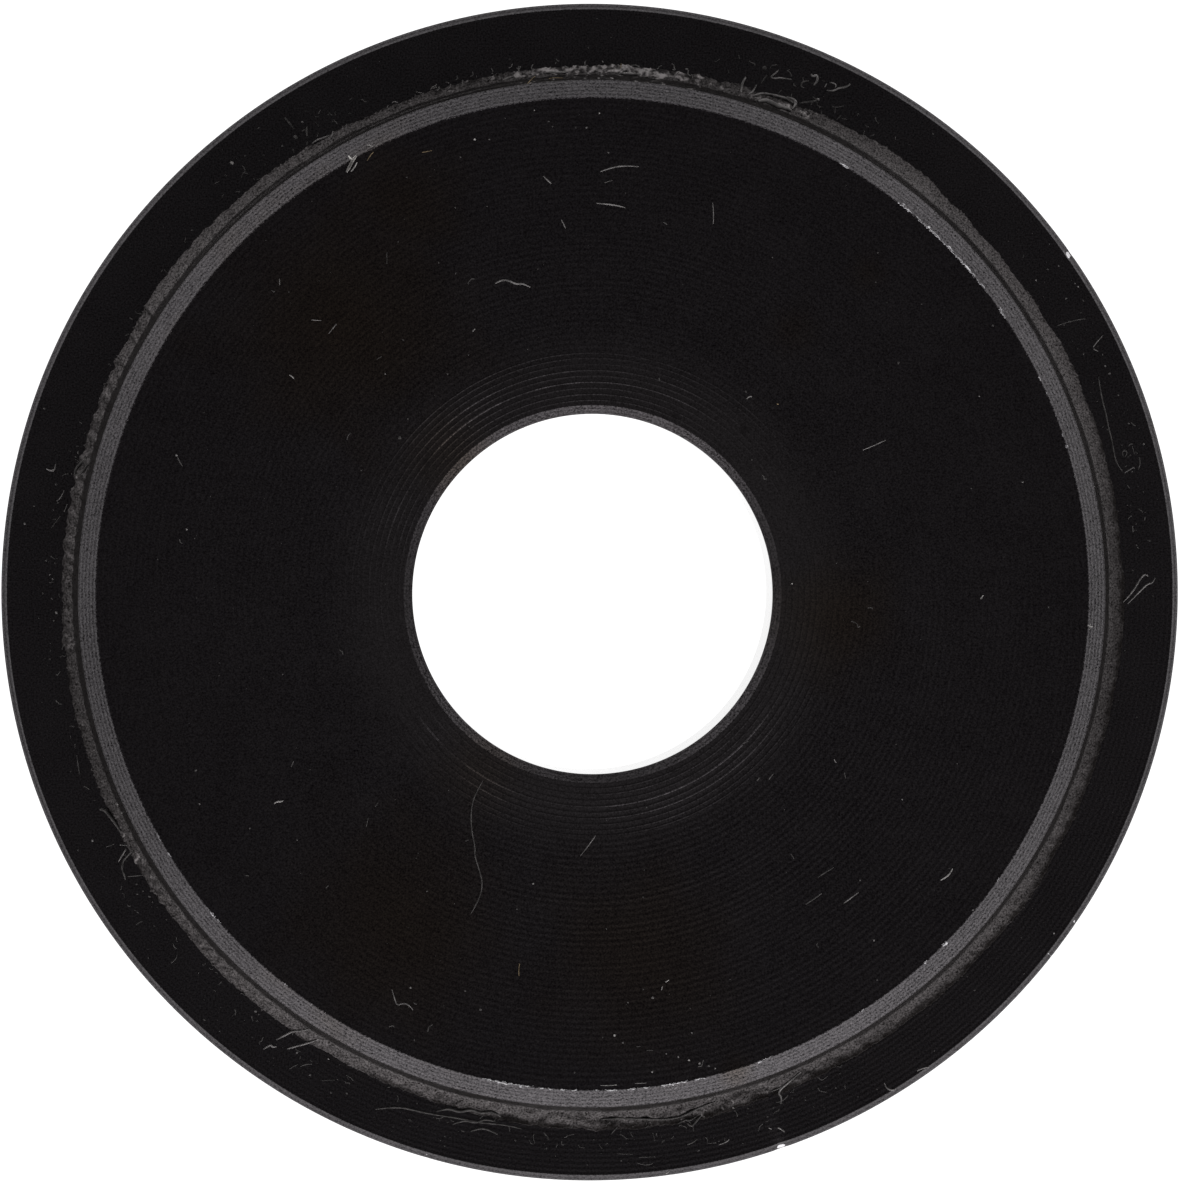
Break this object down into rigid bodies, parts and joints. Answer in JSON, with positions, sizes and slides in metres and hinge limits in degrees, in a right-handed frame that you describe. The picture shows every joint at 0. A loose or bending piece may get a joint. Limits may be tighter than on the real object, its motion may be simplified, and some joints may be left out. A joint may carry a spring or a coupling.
{
  "type": "collar washer",
  "caption": "Turned round washer with a flat flange, a raised chamfered collar and a plain through bore, seats under a bolt head or nut and spreads its load.",
  "frame": {"origin": "centre of the flange's flat back, on the bore's axis", "axes": "+Z along the bore's axis, from the back towards the collar's face; X and Y lie in the back's plane"},
  "size_m": [0.04, 0.04, 0.006],
  "materials": {
    "black_steel": "black oxide over fine turning marks, thinly oiled"
  },
  "bodies": {
    "root": {"collar_washer": "black_steel"}
  },
  "joints": []
}
